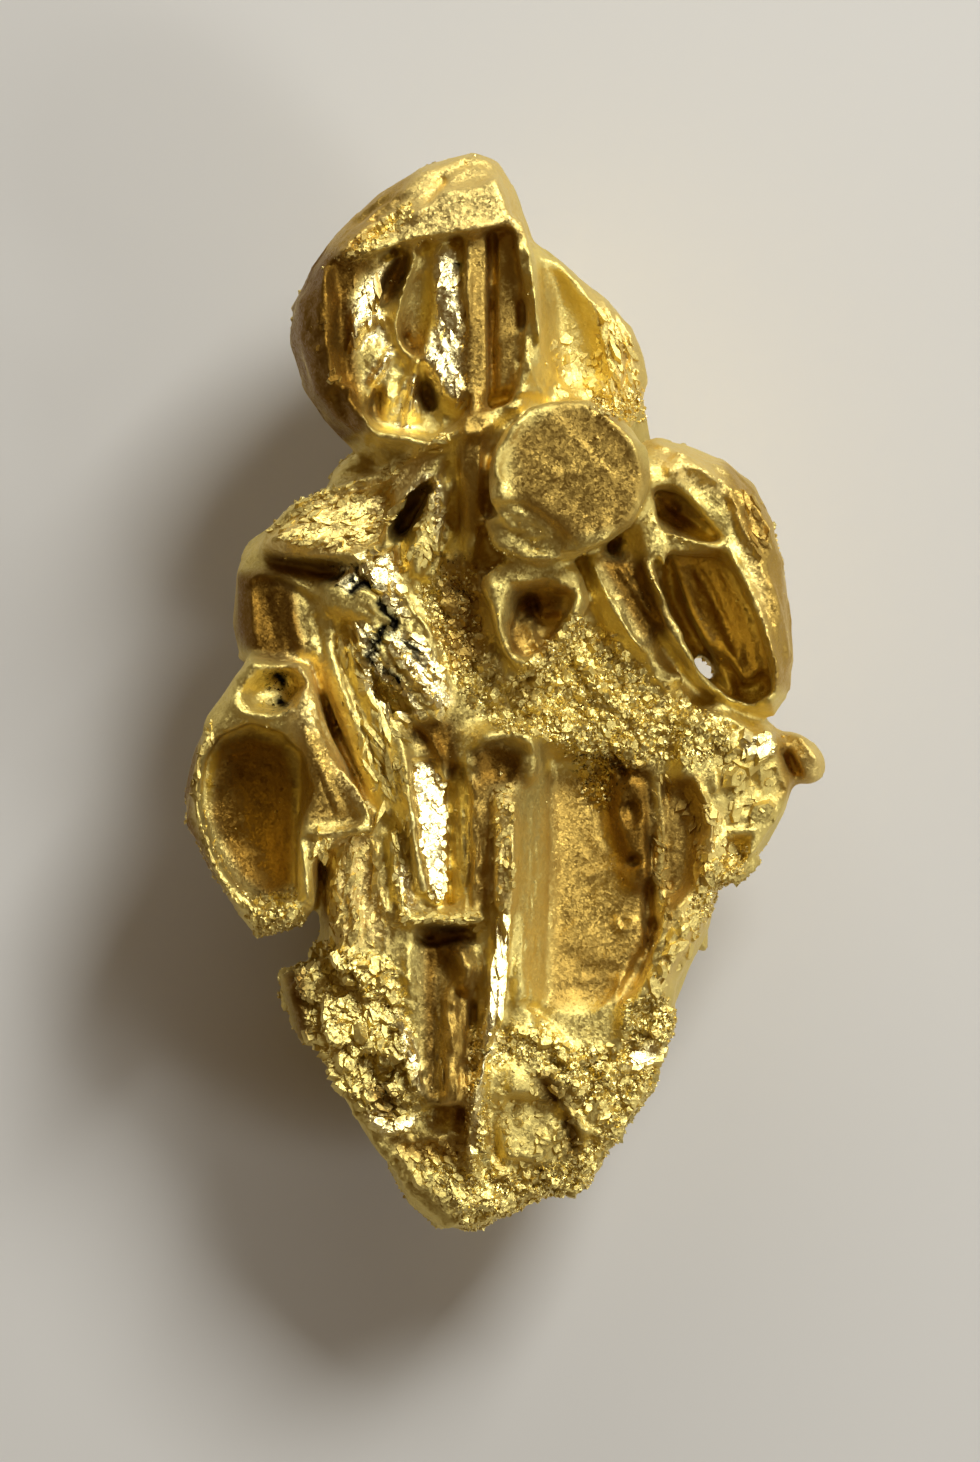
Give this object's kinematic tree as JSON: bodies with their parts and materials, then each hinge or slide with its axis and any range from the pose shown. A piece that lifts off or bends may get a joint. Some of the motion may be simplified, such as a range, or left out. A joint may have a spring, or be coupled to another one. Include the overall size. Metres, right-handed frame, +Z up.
{
  "type": "native gold crystal cluster",
  "caption": "Irregular cluster of hoppered native gold crystals grown together, with rounded rims around hollows, thin fins and rough grainy faces.",
  "frame": {"origin": "under the middle of the bounding box, at the height of the flat contact face on the back", "axes": "+Y along the piece towards the head crystal, +Z up out of the hollowed front, +X to the right seen from the front with the head up"},
  "size_m": [0.0088, 0.015, 0.0056],
  "materials": {
    "native_gold": "bright metal, polished on the crystal faces and fins, satin in the hollows, grainy where small crystals cover it"
  },
  "bodies": {
    "root": {"gold_crystal": "native_gold"}
  },
  "joints": []
}
